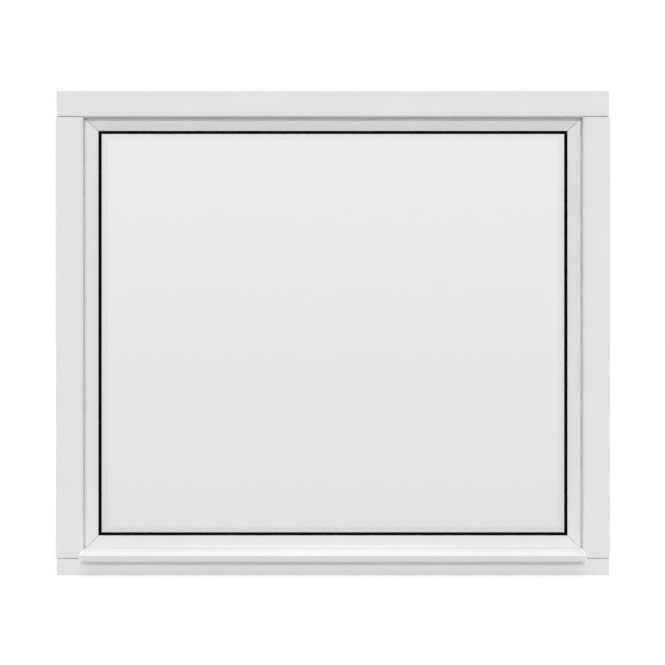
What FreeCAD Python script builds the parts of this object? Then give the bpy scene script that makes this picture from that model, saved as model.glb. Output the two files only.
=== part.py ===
"""Fixed picture window: a painted timber frame glazed from outside.

Axes: X runs along the wall, +Z is up and the outside of the wall is -Y.  The origin is the middle of the
sill's underside, half way through the frame's depth.  All sizes are in millimetres.

Sections are drawn as (inset, depth) pairs.  Inset is measured across the section, inwards from the side that
it belongs to, and depth runs from the frame's outside face towards the room.
"""

import FreeCAD
import Part

import math
import os

# Frame, overall
frame_width = 948.0
frame_height = 828.0
frame_depth = 115.0

# Frame members
jamb_face = 46.0        # faces of the frame, from its outer edge to the glazing rebate
head_face = 44.0
sill_face = 28.7        # front face of the sill, below its weathered slope
sill_seat = 45.0        # level seat for the glass on the sill
rail_setback = 2.0      # head and sill stop this far short of the jambs' outer faces
stop_height = 15.0      # glazing stop above the rebate
jamb_chamfer_width = 4.8    # chamfer along the inner edge of a jamb's face
jamb_chamfer_depth = 2.8
head_chamfer = 1.5      # the same along the head, at 45 degrees
chamfer_arris = 0.5     # rounding of the chamfers' edges
outer_arris = 1.0       # rounding of the outer edges
stop_arris = 1.2        # rounding of the glazing stop's edge
groove_width = 2.0      # V groove along each joint between a jamb and a rail
groove_depth = 5.0
drip_groove = 6.0       # width and depth of the groove under the sill
drip_groove_inset = 12.0
fixing_hole = 8.0       # clearance holes through the jambs for frame screws
fixing_spacing = 500.0
fixing_room_inset = 24.0    # from the room face to the holes' axes

# Glazing beads
bead_setback = 11.3     # from the frame's face to the front edge of the beads
bead_depth = 12.7
bead_edge = 4.0         # thickness that is left at the glass edge of a bevelled bead
bead_tip = 0.6          # rounding of that edge
bead_nose = 1.2         # rounding of the front edge
bead_chamfer_width = 3.8    # from the front edge back to the frame
bead_chamfer_depth = 3.2
side_bead_width = 21.4
top_bead_width = 19.7
shadow_gap = 2.0        # open joint between the top bead and the head
shadow_gap_depth = 5.5
bead_joint = 0.9        # open joint where two beads meet

# Drip bead, an open extrusion that carries water over the sill
nose_projection = 22.0  # in front of the frame's face
nose_height = 10.7
nose_lift = 0.7         # drip edge above the top of the sill's face
nose_undercut = 1.0
nose_round = 1.6
drip_bead_rise = 18.0   # top of the bead above the sill's seat
skin = 2.5
ramp_angle = 8.0
cove_radius = 9.0       # between the ramp and the bevel at the glass
leg_inset = 3.0         # front leg behind the frame's face
cap_thickness = 3.0
cap_round = 2.6         # lower outer corner of a cap
cap_edge = 0.9          # rounding of a cap's outer edge
cap_overhang = 0.5      # cap's rim beyond the extrusion
cap_clearance = 0.5     # from a cap to the jamb

# Glass unit and its seals
pane_thickness = 4.0
cavity = 16.0
edge_gap = 4.0          # from the glass edge to the rebate
edge_seal = 5.0
spacer_height = 6.0
gasket_thickness = 3.0
gasket_cover = 10.0     # inset at which the outer gasket begins, behind the bead
gasket_riser = 1.0      # strip of the gasket that covers the bead's edge
gasket_lip = 3.9        # what shows of the gasket beyond the bead
gasket_feather = 1.2    # thickness of the lip's edge
tape_thickness = 3.0
tape_inset = 4.5
tape_width = 9.0
block_length = 100.0
block_overlap = 1.0     # setting block beyond each face of the glass unit

# Derived places
face_y = -frame_depth / 2
half_width = frame_width / 2
half_rail = half_width - rail_setback
rebate_x = half_width - jamb_face
rebate_bottom = sill_seat
rebate_top = frame_height - head_face
rebate_insets = {"left": jamb_face, "right": jamb_face, "top": head_face, "bottom": sill_seat}
SIDES = tuple(rebate_insets)

bead_back = bead_setback + bead_depth
tip_front = bead_back - bead_edge
glass_front = bead_back + gasket_thickness
cavity_front = glass_front + pane_thickness
cavity_back = cavity_front + cavity
glass_back = cavity_back + pane_thickness
rebate_depth = glass_back + tape_thickness
spacer_inset = edge_gap + edge_seal

ramp_slope = math.tan(math.radians(ramp_angle))
bevel_slope = (side_bead_width - bead_chamfer_width) / (tip_front - bead_setback)
drip_edge_z = sill_face + nose_lift
nose_top_z = drip_edge_z + nose_height
drip_bead_top = sill_seat + drip_bead_rise
drip_bead_end = rebate_x - cap_clearance - cap_thickness
ramp_start_z = nose_top_z + ramp_slope * nose_projection
bevel_start_z = drip_bead_top - bevel_slope * tip_front
ramp_foot = (ramp_start_z - bevel_start_z) / (bevel_slope - ramp_slope)
ramp_foot_z = ramp_start_z + ramp_slope * ramp_foot

bead_widths = {
    "left": side_bead_width,
    "right": side_bead_width,
    "top": top_bead_width,
    "bottom": drip_bead_rise,
}
bead_heels = {"left": 0, "right": 0, "top": 0, "bottom": drip_bead_rise - side_bead_width}


# Drawing helpers

def rounded_face(corners):
    """A flat face whose corners are (point, radius) pairs; a radius of 0 leaves the corner sharp."""
    starts, ends, arcs = [], [], []
    count = len(corners)
    for index, (point, radius) in enumerate(corners):
        before = (corners[index - 1][0] - point).normalize()
        after = (corners[(index + 1) % count][0] - point).normalize()
        if radius <= 0:
            starts.append(point)
            ends.append(point)
            arcs.append(None)
            continue
        half_angle = before.getAngle(after) / 2
        reach = radius / math.tan(half_angle)
        bisector = (before + after).normalize()
        middle = point + bisector * (radius / math.sin(half_angle) - radius)
        starts.append(point + before * reach)
        ends.append(point + after * reach)
        arcs.append(Part.Arc(starts[-1], middle, ends[-1]).toShape())
    edges = []
    for index in range(count):
        if arcs[index]:
            edges.append(arcs[index])
        edges.append(Part.LineSegment(ends[index], starts[(index + 1) % count]).toShape())
    return Part.Face(Part.Wire(edges))


def side_point(side, inset, depth, along=0.0):
    """The point of a section on one side of the window, measured inwards from the frame's outer edge."""
    y = face_y + depth
    if side == "left":
        return FreeCAD.Vector(-half_width + inset, y, along)
    if side == "right":
        return FreeCAD.Vector(half_width - inset, y, along)
    if side == "top":
        return FreeCAD.Vector(along, y, frame_height - inset)
    return FreeCAD.Vector(along, y, inset)


def run(side, section, start, end):
    """A solid with the given (inset, depth, radius) section, from start to end along its side."""
    face = rounded_face([(side_point(side, inset, depth, start), r) for inset, depth, r in section])
    upright = side in ("left", "right")
    length = end - start
    return face.extrude(FreeCAD.Vector(0, 0, length) if upright else FreeCAD.Vector(length, 0, 0))


def rectangle(inset_0, inset_1, depth_0, depth_1):
    """A plain rectangular section."""
    return [
        (inset_0, depth_0, 0),
        (inset_1, depth_0, 0),
        (inset_1, depth_1, 0),
        (inset_0, depth_1, 0),
    ]


def direction(start, end):
    """Unit vector between two points of a section."""
    return FreeCAD.Vector(end[0] - start[0], end[1] - start[1], 0).normalize()


def offset_path(path, distance):
    """An open (inset, depth, radius) path moved sideways, to the left of its direction."""
    moved = []
    for index, (inset, depth, radius) in enumerate(path):
        ahead = direction(*path[index:index + 2]) if index + 1 < len(path) else None
        behind = direction(*path[index - 1:index + 1]) if index else ahead
        ahead = ahead or behind
        normals = FreeCAD.Vector(-behind.y - ahead.y, behind.x + ahead.x, 0)
        shift = normals * (distance / (1 + behind.dot(ahead)))
        turn = math.copysign(1, behind.cross(ahead).z)
        moved.append((inset + shift.x, depth + shift.y, max(radius - turn * distance, 0) if radius else 0))
    return moved


def mirrored(shape):
    """The same piece on the other side of the window."""
    return shape.mirror(FreeCAD.Vector(0, 0, 0), FreeCAD.Vector(1, 0, 0))


def corner(side_x, side_z, inset_x, inset_z):
    """A point in the plane of the window, inset from one corner of the glazing rebate."""
    x = rebate_x - inset_x
    z = rebate_top - inset_z if side_z == "top" else rebate_bottom + inset_z
    return FreeCAD.Vector(-x if side_x == "left" else x, face_y, z)


def mitre_mask(side, outer, inner, joint=0.0):
    """The space that a mitred strip may fill on its side, less half of the open joint at each mitre.

    Each mitre runs from the outer insets of its two sides to their inner insets.
    """
    across = side in ("top", "bottom")
    ends = [("left", side), ("right", side)] if across else [(side, "bottom"), (side, "top")]
    pull = FreeCAD.Vector(joint / 2, 0, 0) if across else FreeCAD.Vector(0, 0, joint / 2)
    first, last = ends
    points = [
        corner(*first, outer[first[0]], outer[first[1]]) + pull,
        corner(*last, outer[last[0]], outer[last[1]]) - pull,
        corner(*last, inner[last[0]], inner[last[1]]) - pull,
        corner(*first, inner[first[0]], inner[first[1]]) + pull,
    ]
    face = Part.Face(Part.makePolygon(points + points[:1]))
    face.translate(FreeCAD.Vector(0, -frame_depth, 0))
    return face.extrude(FreeCAD.Vector(0, 3 * frame_depth, 0))


def mitred_strip(side, section, outer, inner, joint=0.0):
    """A strip round the rebate with mitred ends; its section is drawn from the rebate."""
    from_edge = [(rebate_insets[side] + inset, depth, r) for inset, depth, r in section]
    reach = frame_width + frame_height
    return run(side, from_edge, -reach, reach).common(mitre_mask(side, outer, inner, joint))


# Frame

def frame_section(face, chamfer_width, chamfer_depth):
    """Jamb or head: chamfer, glazing rebate, glazing stop, and a splay that falls away towards the room."""
    return [
        (0, 0, outer_arris),
        (face - chamfer_width, 0, chamfer_arris),
        (face, chamfer_depth, chamfer_arris),
        (face, rebate_depth, 0),
        (face + stop_height, rebate_depth, stop_arris),
        (face, frame_depth, outer_arris),
        (0, frame_depth, outer_arris),
    ]


def sill_section():
    """Sill: weathered front, level seat for the glass, glazing stop and a splay towards the room."""
    return [
        (0, 0, outer_arris),
        (sill_face, 0, outer_arris),
        (sill_seat, bead_back, 0),
        (sill_seat, rebate_depth, 0),
        (sill_seat + stop_height, rebate_depth, stop_arris),
        (sill_seat, frame_depth, outer_arris),
        (0, frame_depth, outer_arris),
    ]


def joint_grooves(side, level):
    """The V grooves that run along a joint on the outside and on the room side."""
    low, high = level - groove_width / 2, level + groove_width / 2
    wedges = []
    for face, bottom in ((0, groove_depth), (frame_depth, frame_depth - groove_depth)):
        section = [(low, face, 0), (high, face, 0), (level, bottom, 0)]
        wedges.append(run(side, section, -frame_width, frame_width))
    return Part.makeCompound(wedges)


def rail(side, section, face):
    """Head or sill: the section between the jambs, and a plain grooved end over or under each jamb."""
    middle = run(side, section, -rebate_x, rebate_x)
    plain = [(0, 0, outer_arris), (face, 0, 0), (face, frame_depth, 0), (0, frame_depth, outer_arris)]
    ends = [run(side, plain, -half_rail, -rebate_x), run(side, plain, rebate_x, half_rail)]
    grooves = joint_grooves(side, face)
    return middle.multiFuse([end.cut(grooves) for end in ends])


def head():
    """Head, which runs over the jambs."""
    section = frame_section(head_face, head_chamfer, head_chamfer)
    return rail("top", section, head_face).removeSplitter()


def sill():
    """Sill, which runs under the jambs, with a drip groove along its underside."""
    groove = rectangle(-drip_groove, drip_groove, drip_groove_inset, drip_groove_inset + drip_groove)
    whole = rail("bottom", sill_section(), sill_face)
    return whole.cut(run("bottom", groove, -half_width, half_width)).removeSplitter()


def left_jamb(head_piece, sill_piece):
    """Left jamb, scribed to the head and sill and drilled for frame screws."""
    section = frame_section(jamb_face, jamb_chamfer_width, jamb_chamfer_depth)
    jamb = run("left", section, sill_face, rebate_top)
    jamb = jamb.cut(sill_piece).cut(head_piece)
    jamb = jamb.cut(joint_grooves("top", head_face)).cut(joint_grooves("bottom", sill_face))
    for up_or_down in (-1, 1):
        z = frame_height / 2 + up_or_down * fixing_spacing / 2
        start = side_point("left", -1, frame_depth - fixing_room_inset, z)
        reach = jamb_face + stop_height + 2
        hole = Part.makeCylinder(fixing_hole / 2, reach, start, FreeCAD.Vector(1, 0, 0))
        jamb = jamb.cut(hole)
    return jamb.removeSplitter()


# Drip bead and glazing beads

def drip_surface():
    """The weathered top of the drip bead, from its back at the gasket out to the drip edge."""
    return [
        (drip_bead_top, bead_back, 0),
        (drip_bead_top, tip_front, bead_tip),
        (ramp_foot_z, ramp_foot, cove_radius),
        (nose_top_z, -nose_projection, nose_round),
        (drip_edge_z, nose_undercut - nose_projection, 0),
    ]


def ramp_z(depth):
    """Height of the plane of the ramp."""
    return ramp_start_z + ramp_slope * depth


def over_ramp(clearance):
    """The space over the plane of the ramp, in front of the glazing."""
    section = [
        (ramp_z(-nose_projection) + clearance, -nose_projection, 0),
        (frame_height, -nose_projection, 0),
        (frame_height, bead_back, 0),
        (ramp_z(bead_back) + clearance, bead_back, 0),
    ]
    return run("bottom", section, -half_width, half_width)


def drip_bead(sill_piece):
    """Drip bead between its caps: a thin skin on two legs, whose upstand is mitred to the upright beads."""
    ends = (-drip_bead_end, drip_bead_end)
    surface = drip_surface()
    skin_section = surface + offset_path(surface, -skin)[::-1]
    back_leg = rectangle(sill_face, drip_bead_top - skin / 2, bead_back - skin, bead_back)
    front_leg = rectangle(sill_face, ramp_z(leg_inset) - skin / 2, leg_inset, leg_inset + skin)
    bead = run("bottom", skin_section, *ends)
    bead = bead.multiFuse([run("bottom", back_leg, *ends), run("bottom", front_leg, *ends)])
    for side in ("left", "right"):
        bead = bead.cut(over_ramp(0).common(mitre_mask(side, bead_heels, bead_widths, -bead_joint)))
    return bead.cut(sill_piece).removeSplitter()


def left_cap(sill_piece):
    """Moulded cap that closes the left end of the drip bead, with a rim just proud of it."""
    outer, inner = -drip_bead_end - cap_thickness, -drip_bead_end
    rim_front = -nose_projection - cap_overhang
    outline = [
        (sill_face, bead_back, 0),
        (ramp_z(bead_back) + cap_overhang, bead_back, 0),
        (nose_top_z + cap_overhang, rim_front, nose_round),
        (sill_face, rim_front + nose_undercut, nose_round),
    ]
    cap = run("bottom", outline, outer, inner)
    outer_edges = [edge for edge in cap.Edges if edge.BoundBox.XMax < outer + cap_edge / 2]
    rim = [edge for edge in outer_edges if edge.BoundBox.YMin < face_y]
    cap = cap.makeFillet(cap_edge, rim)
    front_y = face_y - frame_depth
    front_corners = [
        (FreeCAD.Vector(outer, front_y, sill_face), cap_round),
        (FreeCAD.Vector(inner, front_y, sill_face), 0),
        (FreeCAD.Vector(inner, front_y, frame_height), 0),
        (FreeCAD.Vector(outer, front_y, frame_height), 0),
    ]
    front = rounded_face(front_corners).extrude(FreeCAD.Vector(0, 2 * frame_depth, 0))
    return cap.common(front).cut(sill_piece).removeSplitter()


def bead_section(side):
    """Bevelled bead with a chamfered front edge; the top one has a shadow gap over it."""
    width = bead_widths[side]
    gap = shadow_gap if side == "top" else 0
    foot_front = bead_setback + shadow_gap_depth
    foot = [(0, foot_front, 0), (gap, foot_front, 0)] if gap else []
    return [
        (0, bead_back, 0),
        *foot,
        (gap, bead_setback + bead_chamfer_depth, 0),
        (gap + bead_chamfer_width, bead_setback, bead_nose),
        (width, tip_front, bead_tip),
        (width, bead_back, 0),
    ]


def glazing_bead(side):
    """Bead on one side, mitred at both ends; the feet of the uprights stand just over the ramp."""
    bead = mitred_strip(side, bead_section(side), bead_heels, bead_widths, bead_joint)
    return bead.common(over_ramp(bead_joint)).removeSplitter()


# Glass unit and its seals

def pane(front):
    """One sheet of glass."""
    width = 2 * (rebate_x - edge_gap)
    height = rebate_top - rebate_bottom - 2 * edge_gap
    low = FreeCAD.Vector(-width / 2, face_y + front, rebate_bottom + edge_gap)
    return Part.makeBox(width, pane_thickness, height, low)


def even(inset):
    """The same inset on all four sides."""
    return {side: inset for side in SIDES}


def outer_gasket(side):
    """Black gasket between a bead and the glass: it covers the bead's edge and thins out on the glass."""
    width = bead_widths[side]
    riser_front = tip_front + bead_tip
    section = [
        (gasket_cover, bead_back, 0),
        (width, bead_back, 0),
        (width, riser_front, 0),
        (width + gasket_riser, riser_front, 0),
        (width + gasket_lip, glass_front - gasket_feather, 0),
        (width + gasket_lip, glass_front, 0),
        (gasket_cover, glass_front, 0),
    ]
    lips = {name: bead_width + gasket_lip for name, bead_width in bead_widths.items()}
    return mitred_strip(side, section, even(gasket_cover), lips)


def ring_side(side, inset, width, front, back):
    """One side of a rectangular ring that follows the rebate."""
    section = rectangle(inset, inset + width, front, back)
    return mitred_strip(side, section, even(inset), even(inset + width))


def setting_block(left_or_right):
    """Block under the glass, a quarter of its width in from the edge."""
    middle = left_or_right * (rebate_x - edge_gap) / 2
    low = FreeCAD.Vector(middle - block_length / 2, face_y + glass_front - block_overlap, rebate_bottom)
    depth = glass_back - glass_front + 2 * block_overlap
    return Part.makeBox(block_length, depth, edge_gap, low)


# Assembly

def window():
    """Every piece of the window by name."""
    pieces = {"head": head(), "sill": sill()}
    pieces["left_jamb"] = left_jamb(pieces["head"], pieces["sill"])
    pieces["right_jamb"] = mirrored(pieces["left_jamb"])
    pieces["drip_bead"] = drip_bead(pieces["sill"])
    pieces["left_end_cap"] = left_cap(pieces["sill"])
    pieces["right_end_cap"] = mirrored(pieces["left_end_cap"])
    for side in ("top", "left", "right"):
        pieces[f"{side}_bead"] = glazing_bead(side)
    pieces["outer_pane"] = pane(glass_front)
    pieces["inner_pane"] = pane(cavity_back)
    for side in SIDES:
        pieces[f"{side}_outer_gasket"] = outer_gasket(side)
        pieces[f"{side}_edge_seal"] = ring_side(side, edge_gap, edge_seal, cavity_front, cavity_back)
        pieces[f"{side}_spacer"] = ring_side(side, spacer_inset, spacer_height, cavity_front, cavity_back)
        pieces[f"{side}_glazing_tape"] = ring_side(side, tape_inset, tape_width, glass_back, rebate_depth)
    pieces["left_setting_block"] = setting_block(-1)
    pieces["right_setting_block"] = setting_block(1)
    return pieces


def main():
    os.makedirs("parts", exist_ok=True)
    for name, shape in window().items():
        solid = shape.Solids[0] if len(shape.Solids) == 1 else shape
        solid.exportStep(f"parts/{name}.step")
        print(f"{name}: {len(shape.Solids)} solid, {shape.Volume / 1000:.1f} cm3, valid {shape.isValid()}")


main()
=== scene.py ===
"""Looks of the fixed picture window: paint, powder coat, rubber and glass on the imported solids.

Metres throughout, in the frame of the solids: X along the wall, outside is -Y, +Z is up.
"""

import math

import bpy
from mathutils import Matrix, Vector

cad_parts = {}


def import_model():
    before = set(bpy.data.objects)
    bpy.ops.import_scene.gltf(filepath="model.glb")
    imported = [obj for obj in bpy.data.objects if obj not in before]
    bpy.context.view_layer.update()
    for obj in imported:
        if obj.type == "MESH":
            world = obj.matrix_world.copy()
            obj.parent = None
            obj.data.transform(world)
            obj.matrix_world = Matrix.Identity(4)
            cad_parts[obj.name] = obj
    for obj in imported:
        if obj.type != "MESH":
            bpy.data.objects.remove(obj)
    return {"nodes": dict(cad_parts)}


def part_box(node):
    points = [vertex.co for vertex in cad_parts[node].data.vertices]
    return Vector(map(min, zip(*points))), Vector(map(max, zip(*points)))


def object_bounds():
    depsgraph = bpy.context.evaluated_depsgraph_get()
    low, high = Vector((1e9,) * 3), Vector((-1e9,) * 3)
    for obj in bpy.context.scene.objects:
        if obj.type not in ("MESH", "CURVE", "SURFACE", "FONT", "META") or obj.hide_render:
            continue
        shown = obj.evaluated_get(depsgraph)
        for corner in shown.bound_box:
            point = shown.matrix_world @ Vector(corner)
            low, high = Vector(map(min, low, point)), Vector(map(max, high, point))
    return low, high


# The photograph's view
IMAGE_SIZE = 665                # pixels, square
WINDOW_CENTRE_PX = (332.95, 332.97)
PIXELS_PER_METRE = 585.2        # at the frame's outside face
CAMERA_DISTANCE = 1.4           # from the frame's outside face
SENSOR = 36.0                   # millimetres

# Colours, linear
WHITE = (1.0, 1.0, 1.0)
WHITE_PAINT = (0.78, 0.78, 0.765)
WHITE_COAT = (0.72, 0.72, 0.705)
WHITE_PLASTIC = (0.82, 0.82, 0.805)
BLACK_RUBBER = (0.0025, 0.0025, 0.0027)
BLACK_TAPE = (0.018, 0.018, 0.019)
BLACK_SPACER = (0.014, 0.014, 0.015)
BLACK_SEALANT = (0.012, 0.012, 0.012)
BLUE_BLOCK = (0.05, 0.13, 0.3)
GLASS_TINT = (0.93, 0.932, 0.93)
FLOOR_GREY = (0.4, 0.4, 0.395)

# Tone of the darkest patches, as a share of the colour; for strips also of the lightest
PAINT_SHADE = 0.96
COAT_SHADE = 0.985
CAP_SHADE = 0.97
BLOCK_SHADE = 0.85
STRIP_SHADES = (0.7, 1.3)

# Levels of a noise between which the tone runs from dark to light
CLOUD_SPAN = (0.3, 0.7)
GRAIN_SPAN = (0.2, 0.8)
MARK_SPAN = (0.25, 0.75)

# Noise, in cycles a metre
TIMBER_GRAIN_ALONG = 9.0
TIMBER_GRAIN_ACROSS = 420.0
TIMBER_GRAIN_SHARE = 0.35       # of the paint's change of tone; the rest is cloud
PAINT_CLOUD = 14.0
PAINT_PEEL = 1400.0
COAT_CLOUD = 20.0
COAT_PEEL = 700.0
CAP_GRAIN = 2600.0
BLOCK_GRAIN = 900.0
STRIP_MARKS_ALONG = 20.0
STRIP_MARKS_ACROSS = 1500.0

# Bumps: height in metres, and strength
TIMBER_GRAIN_BUMP = (0.0001, 0.7)
PAINT_PEEL_BUMP = (0.00004, 0.6)
COAT_PEEL_BUMP = (0.00007, 0.8)
CAP_GRAIN_BUMP = (0.00003, 0.6)
BLOCK_GRAIN_BUMP = (0.00004, 0.5)
STRIP_MARKS_BUMP = (0.00005, 0.5)

# Roughness, from where the noise is low to where it is high
PAINT_ROUGHNESS = (0.36, 0.48)
COAT_ROUGHNESS = (0.36, 0.44)
CAP_ROUGHNESS = (0.42, 0.52)
RUBBER_ROUGHNESS = (0.625, 0.775)
TAPE_ROUGHNESS = (0.725, 0.875)
SPACER_ROUGHNESS = (0.425, 0.575)
SEALANT_ROUGHNESS = (0.525, 0.675)
BLOCK_ROUGHNESS = 0.55          # even

# Specular levels, and the glass
COAT_GLOSS = 0.8
RUBBER_GLOSS = 0.04
STRIP_GLOSS = 0.3
GLASS_IOR = 1.5

# Floor
FLOOR_SIZE = 60.0
FLOOR_GAP = 0.0003              # keeps the floor just below the sill's underside
FLOOR_GLOW = 1.34               # glow of the floor as the camera sees it
FLOOR_GLOW_SHARE = 0.65         # of what is seen near the window; far away it is all glow
SHADOW_REACH = (0.6, 1.8)       # distances from the window between which the floor turns to plain glow

# Studio dome
DOME_LEVEL = 0.20               # brightness at the horizon
DOME_RISE = 0.10                # added overhead, and taken away below

# Soft lamps aimed at the window: place, width and height, watts, and whether surfaces mirror the lamp
LAMPS = {
    "front": ((0.0, -9.0, 0.35), (1.6, 1.0), 292.0, False),
    "key": ((0.5, -10.16, 5.81), (2.0, 0.8), 456.0, False),
    "overhead": ((0.0, -0.205, 8.0), (2.4, 0.39), 362.0, True),
    "back_strip": ((0.0, 0.45, 0.68), (1.0, 0.1), 3.0, False),
    "back_right": ((1.8, 0.9, 0.7), (0.5, 0.5), 8.0, False),
    "back_left": ((-1.8, 0.9, 0.7), (0.5, 0.5), 8.0, False),
    "right_side": ((5.0, -0.6, 0.6), (0.6, 1.5), 8.0, True),
    "left_side": ((-5.0, -0.6, 0.6), (0.6, 1.5), 10.0, True),
}

# Backdrop that the glass shows: level at the horizon, and how it changes with the height of the view
BACKDROP_LEVEL = 0.926
BACKDROP_RISE = 0.19
BACKDROP_FALL = 0.285
EYE_HEIGHT = 0.414              # the photograph's eye point, above the floor and in front of the glass
EYE_DISTANCE = 1.46


# Node helpers

class Nodes:
    """Short spelling for building a node tree."""

    def __init__(self, tree):
        self.tree = tree
        self.tree.nodes.clear()

    def add(self, kind, inputs=None, **settings):
        """A new node; an input is a value to set or another node's socket to link."""
        node = self.tree.nodes.new(kind)
        for name, value in settings.items():
            setattr(node, name, value)
        for key, value in (inputs or {}).items():
            if isinstance(value, bpy.types.NodeSocket):
                self.tree.links.new(value, node.inputs[key])
            else:
                node.inputs[key].default_value = value
        return node

    def math(self, operation, first, second=0.0):
        node = self.add("ShaderNodeMath", {0: first, 1: second}, operation=operation)
        return node.outputs[0]

    def between(self, factor, ends):
        """Runs from the first end to the second as the factor runs from 0 to 1."""
        low, high = ends
        return self.math("ADD", self.math("MULTIPLY", factor, high - low), low)


def rgba(colour):
    return (*colour, 1.0)


def shade(colour, factor):
    return tuple(channel * factor for channel in colour)


def new_material(name):
    material = bpy.data.materials.new(name)
    material.use_nodes = True
    return material, Nodes(material.node_tree)


def tone_ramp(nodes, factor, span, dark, light):
    """Runs from the dark colour to the light one between two levels of the factor."""
    node = nodes.add("ShaderNodeValToRGB", {"Fac": factor})
    for element, place, colour in zip(node.color_ramp.elements, span, (dark, light)):
        element.position = place
        element.color = rgba(colour)
    return node.outputs["Color"]


def stretched_noise(nodes, scale, detail=2.0, roughness=0.5):
    """Noise whose scale gives the cycles a metre along each axis."""
    place = nodes.add("ShaderNodeTexCoord").outputs["Object"]
    mapping = nodes.add("ShaderNodeMapping", {"Vector": place, "Scale": scale})
    inputs = {"Vector": mapping.outputs[0], "Scale": 1.0, "Detail": detail, "Roughness": roughness}
    return nodes.add("ShaderNodeTexNoise", inputs).outputs["Fac"]


def even_noise(nodes, cycles, detail=2.0):
    return stretched_noise(nodes, (cycles, cycles, cycles), detail)


def bump(nodes, pattern, size, normal=None):
    """Normal of the pattern's relief, on top of another normal where one is given."""
    height, strength = size
    inputs = {"Height": pattern, "Distance": height, "Strength": strength}
    if normal:
        inputs["Normal"] = normal
    return nodes.add("ShaderNodeBump", inputs).outputs["Normal"]


def finish_surface(nodes, inputs):
    """A Principled surface with the given sockets, wired to the output."""
    shader = nodes.add("ShaderNodeBsdfPrincipled", inputs)
    output = nodes.add("ShaderNodeOutputMaterial", {"Surface": shader.outputs[0]})
    return shader, output


# Materials

def painted_timber(name, along):
    """Sprayed white paint over planed timber: grain just telegraphs along the member."""
    material, nodes = new_material(name)
    streak = tuple(TIMBER_GRAIN_ALONG if axis == along else TIMBER_GRAIN_ACROSS for axis in "XYZ")
    grain = stretched_noise(nodes, streak, detail=3.0, roughness=0.6)
    cloud = even_noise(nodes, PAINT_CLOUD)
    peel = even_noise(nodes, PAINT_PEEL, detail=1.0)
    grain_tone = nodes.math("MULTIPLY", grain, TIMBER_GRAIN_SHARE)
    cloud_tone = nodes.math("MULTIPLY", cloud, 1.0 - TIMBER_GRAIN_SHARE)
    tone = nodes.math("ADD", grain_tone, cloud_tone)
    relief = bump(nodes, grain, TIMBER_GRAIN_BUMP)
    finish_surface(nodes, {
        "Base Color": tone_ramp(nodes, tone, CLOUD_SPAN, shade(WHITE_PAINT, PAINT_SHADE), WHITE_PAINT),
        "Roughness": nodes.between(cloud, PAINT_ROUGHNESS),
        "Normal": bump(nodes, peel, PAINT_PEEL_BUMP, relief),
    })
    return material


def powder_coat():
    """Baked white powder coat with a fine orange peel."""
    material, nodes = new_material("powder_coat")
    peel = even_noise(nodes, COAT_PEEL)
    cloud = even_noise(nodes, COAT_CLOUD)
    finish_surface(nodes, {
        "Base Color": tone_ramp(nodes, cloud, CLOUD_SPAN, shade(WHITE_COAT, COAT_SHADE), WHITE_COAT),
        "Roughness": nodes.between(peel, COAT_ROUGHNESS),
        "Normal": bump(nodes, peel, COAT_PEEL_BUMP),
        "Specular IOR Level": COAT_GLOSS,
    })
    return material


def cap_plastic():
    """Satin moulded plastic with a spark-eroded grain."""
    material, nodes = new_material("cap_plastic")
    grain = even_noise(nodes, CAP_GRAIN)
    finish_surface(nodes, {
        "Base Color": tone_ramp(nodes, grain, GRAIN_SPAN, shade(WHITE_PLASTIC, CAP_SHADE), WHITE_PLASTIC),
        "Roughness": nodes.between(grain, CAP_ROUGHNESS),
        "Normal": bump(nodes, grain, CAP_GRAIN_BUMP),
    })
    return material


def dark_strip(name, colour, roughness, along=None, gloss=STRIP_GLOSS):
    """Black rubber, foam, sealant or plastic: drawn marks run along the strip where an axis is given."""
    material, nodes = new_material(name)
    scale = tuple(STRIP_MARKS_ALONG if axis == along else STRIP_MARKS_ACROSS for axis in "XYZ")
    marks = stretched_noise(nodes, scale)
    dark, light = (shade(colour, factor) for factor in STRIP_SHADES)
    finish_surface(nodes, {
        "Base Color": tone_ramp(nodes, marks, MARK_SPAN, dark, light),
        "Roughness": nodes.between(marks, roughness),
        "Normal": bump(nodes, marks, STRIP_MARKS_BUMP),
        "Specular IOR Level": gloss,
    })
    return material


def setting_plastic():
    """Blue moulded plastic of the setting blocks."""
    material, nodes = new_material("setting_plastic")
    grain = even_noise(nodes, BLOCK_GRAIN)
    finish_surface(nodes, {
        "Base Color": tone_ramp(nodes, grain, GRAIN_SPAN, shade(BLUE_BLOCK, BLOCK_SHADE), BLUE_BLOCK),
        "Roughness": BLOCK_ROUGHNESS,
        "Normal": bump(nodes, grain, BLOCK_GRAIN_BUMP),
    })
    return material


def clear_glass():
    """Float glass that lets lamp light through without a dark shadow."""
    material, nodes = new_material("clear_glass")
    shader, output = finish_surface(nodes, {
        "Base Color": rgba(GLASS_TINT),
        "Roughness": 0.0,
        "IOR": GLASS_IOR,
        "Transmission Weight": 1.0,
    })
    clear = nodes.add("ShaderNodeBsdfTransparent", {"Color": rgba(GLASS_TINT)})
    path = nodes.add("ShaderNodeLightPath")
    lets_light = nodes.math("MAXIMUM", path.outputs["Is Shadow Ray"], path.outputs["Is Diffuse Ray"])
    mix = nodes.add(
        "ShaderNodeMixShader", {"Fac": lets_light, 1: shader.outputs[0], 2: clear.outputs[0]}
    )
    nodes.tree.links.new(mix.outputs[0], output.inputs["Surface"])
    return material


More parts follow.
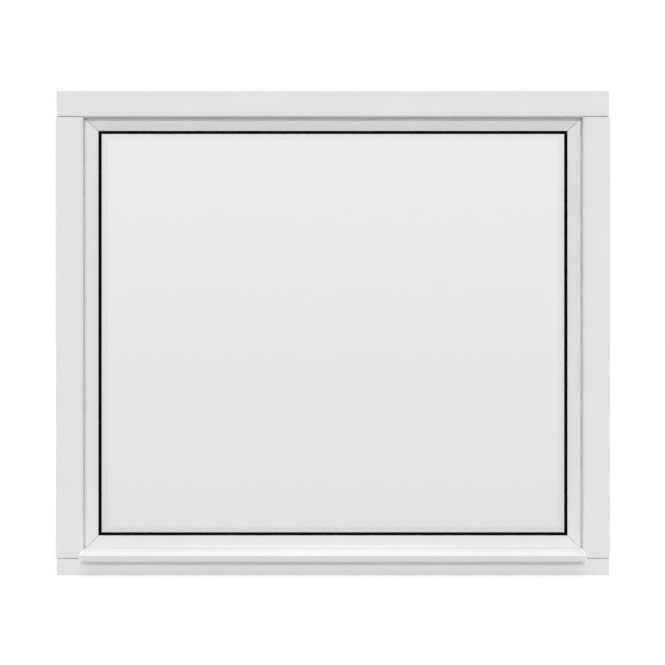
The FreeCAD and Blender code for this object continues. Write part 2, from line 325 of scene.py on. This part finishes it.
def dress(frame):
    """Gives every node its material."""
    paint = {axis: painted_timber(f"paint_along_{axis.lower()}", axis) for axis in "XZ"}
    rubber = {
        axis: dark_strip(f"rubber_along_{axis.lower()}", BLACK_RUBBER, RUBBER_ROUGHNESS, axis, RUBBER_GLOSS)
        for axis in "XZ"
    }
    tape = dark_strip("foam_tape", BLACK_TAPE, TAPE_ROUGHNESS)
    spacer = dark_strip("spacer", BLACK_SPACER, SPACER_ROUGHNESS)
    sealant = dark_strip("sealant", BLACK_SEALANT, SEALANT_ROUGHNESS)
    glass = clear_glass()
    caps = cap_plastic()
    blocks = setting_plastic()
    looks = {
        "head": paint["X"],
        "sill": paint["X"],
        "left_jamb": paint["Z"],
        "right_jamb": paint["Z"],
        "top_bead": paint["X"],
        "left_bead": paint["Z"],
        "right_bead": paint["Z"],
        "drip_bead": powder_coat(),
        "outer_pane": glass,
        "inner_pane": glass,
    }
    for side, axis in (("left", "Z"), ("right", "Z"), ("top", "X"), ("bottom", "X")):
        looks[f"{side}_outer_gasket"] = rubber[axis]
        looks[f"{side}_glazing_tape"] = tape
        looks[f"{side}_spacer"] = spacer
        looks[f"{side}_edge_seal"] = sealant
    for side in ("left", "right"):
        looks[f"{side}_end_cap"] = caps
        looks[f"{side}_setting_block"] = blocks
    for name, node in frame["nodes"].items():
        node.data.materials.clear()
        node.data.materials.append(looks[name])


# Stage

def ways_of_seeing(nodes):
    """Two values: 1 for what the camera sees straight, and 1 for a reflection or a view through glass."""
    path = nodes.add("ShaderNodeLightPath")
    mirrored = nodes.math("MAXIMUM", path.outputs["Is Glossy Ray"], path.outputs["Is Transmission Ray"])
    return path.outputs["Is Camera Ray"], mirrored


def make_world():
    """A pale studio dome, lighter overhead; the camera sees plain white, and glass a soft fall of tone."""
    world = bpy.data.worlds.new("studio_dome")
    bpy.context.scene.world = world
    world.use_nodes = True
    nodes = Nodes(world.node_tree)
    direction = nodes.add("ShaderNodeTexCoord").outputs["Generated"]
    height = nodes.add("ShaderNodeSeparateXYZ", {0: direction}).outputs["Z"]
    lighting = nodes.math("ADD", nodes.math("MULTIPLY", height, DOME_RISE), DOME_LEVEL)
    backdrop = nodes.math("ADD", nodes.math("MULTIPLY", height, BACKDROP_RISE), BACKDROP_LEVEL)
    backdrop = nodes.math("MINIMUM", backdrop, 1.0)
    camera, mirrored = ways_of_seeing(nodes)
    level = nodes.add("ShaderNodeMix", {"Factor": mirrored, "A": lighting, "B": backdrop})
    level = nodes.add("ShaderNodeMix", {"Factor": camera, "A": level.outputs[0], "B": 1.0})
    background = nodes.add("ShaderNodeBackground", {"Color": rgba(WHITE), "Strength": level.outputs[0]})
    nodes.add("ShaderNodeOutputWorld", {"Surface": background.outputs[0]})


def floor_backdrop(nodes, place):
    """Level of the floor as the glass shows it, which meets the dome's level far away."""
    depth = nodes.add("ShaderNodeSeparateXYZ", {0: place}).outputs["Y"]
    distance = nodes.math("ADD", nodes.math("ABSOLUTE", depth), EYE_DISTANCE)
    fall = nodes.math("DIVIDE", BACKDROP_FALL * EYE_HEIGHT, distance)
    return nodes.math("SUBTRACT", BACKDROP_LEVEL, fall)


def floor_glow_share(nodes, place):
    """How much of the floor's look is glow: less beside the window, where its shadow falls."""
    distance = nodes.add("ShaderNodeVectorMath", {0: place}, operation="LENGTH").outputs["Value"]
    near, far = SHADOW_REACH
    share = nodes.add("ShaderNodeMapRange", {
        "Value": distance,
        "From Min": near,
        "From Max": far,
        "To Min": FLOOR_GLOW_SHARE,
        "To Max": 1.0,
    })
    return share.outputs[0]


def pale_floor():
    """Matt grey for the light that falls on it, and glow for the eye, so that it reads as white."""
    material, nodes = new_material("pale_floor")
    place = nodes.add("ShaderNodeNewGeometry").outputs["Position"]
    camera, mirrored = ways_of_seeing(nodes)
    matt = nodes.add("ShaderNodeBsdfDiffuse", {"Color": rgba(FLOOR_GREY)})
    backdrop = floor_backdrop(nodes, place)
    level = nodes.add("ShaderNodeMix", {"Factor": camera, "A": backdrop, "B": FLOOR_GLOW})
    glow = nodes.add("ShaderNodeEmission", {"Strength": level.outputs[0]})
    seen_share = nodes.math("MULTIPLY", camera, floor_glow_share(nodes, place))
    share = nodes.math("MAXIMUM", mirrored, seen_share)
    mix = nodes.add("ShaderNodeMixShader", {"Fac": share, 1: matt.outputs[0], 2: glow.outputs[0]})
    nodes.add("ShaderNodeOutputMaterial", {"Surface": mix.outputs[0]})
    return material


def make_floor():
    """A wide floor that keeps the window's shadow."""
    bpy.ops.mesh.primitive_plane_add(size=FLOOR_SIZE, location=(0.0, 0.0, -FLOOR_GAP))
    floor = bpy.context.object
    floor.name = "floor"
    floor.data.materials.append(pale_floor())


def add_softbox(name, place, aim, size, power, mirrored):
    """A soft area lamp; one that isn't mirrored stays out of the glass and the satin surfaces."""
    data = bpy.data.lights.new(name, "AREA")
    data.shape = "RECTANGLE"
    data.size, data.size_y = size
    data.energy = power
    lamp = bpy.data.objects.new(name, data)
    lamp.location = place
    lamp.rotation_euler = (Vector(aim) - Vector(place)).to_track_quat("-Z", "Y").to_euler()
    lamp.visible_camera = False
    lamp.visible_glossy = mirrored
    lamp.visible_transmission = False
    bpy.context.scene.collection.objects.link(lamp)


def make_lights(centre):
    for name, (place, size, power, mirrored) in LAMPS.items():
        add_softbox(name, place, centre, size, power, mirrored)


def make_camera(centre, face_y):
    """The photograph's square-on view; a small offset puts the window where it stands in the frame."""
    data = bpy.data.cameras.new("camera")
    data.sensor_width = SENSOR
    data.lens = SENSOR * PIXELS_PER_METRE * CAMERA_DISTANCE / IMAGE_SIZE
    camera = bpy.data.objects.new("camera", data)
    right, down = (value - IMAGE_SIZE / 2 for value in WINDOW_CENTRE_PX)
    camera.location = (
        centre[0] - right / PIXELS_PER_METRE,
        face_y - CAMERA_DISTANCE,
        centre[2] + down / PIXELS_PER_METRE,
    )
    camera.rotation_euler = (math.radians(90), 0.0, 0.0)
    bpy.context.scene.collection.objects.link(camera)
    bpy.context.scene.camera = camera


def main():
    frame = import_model()
    cad_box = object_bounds()
    low, high = cad_box
    centre = tuple((a + b) / 2 for a, b in zip(low, high))
    face_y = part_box("left_jamb")[0][1]
    bpy.context.scene.view_settings.view_transform = "Standard"
    dress(frame)
    make_world()
    make_floor()
    make_lights(centre)
    make_camera(centre, face_y)


main()
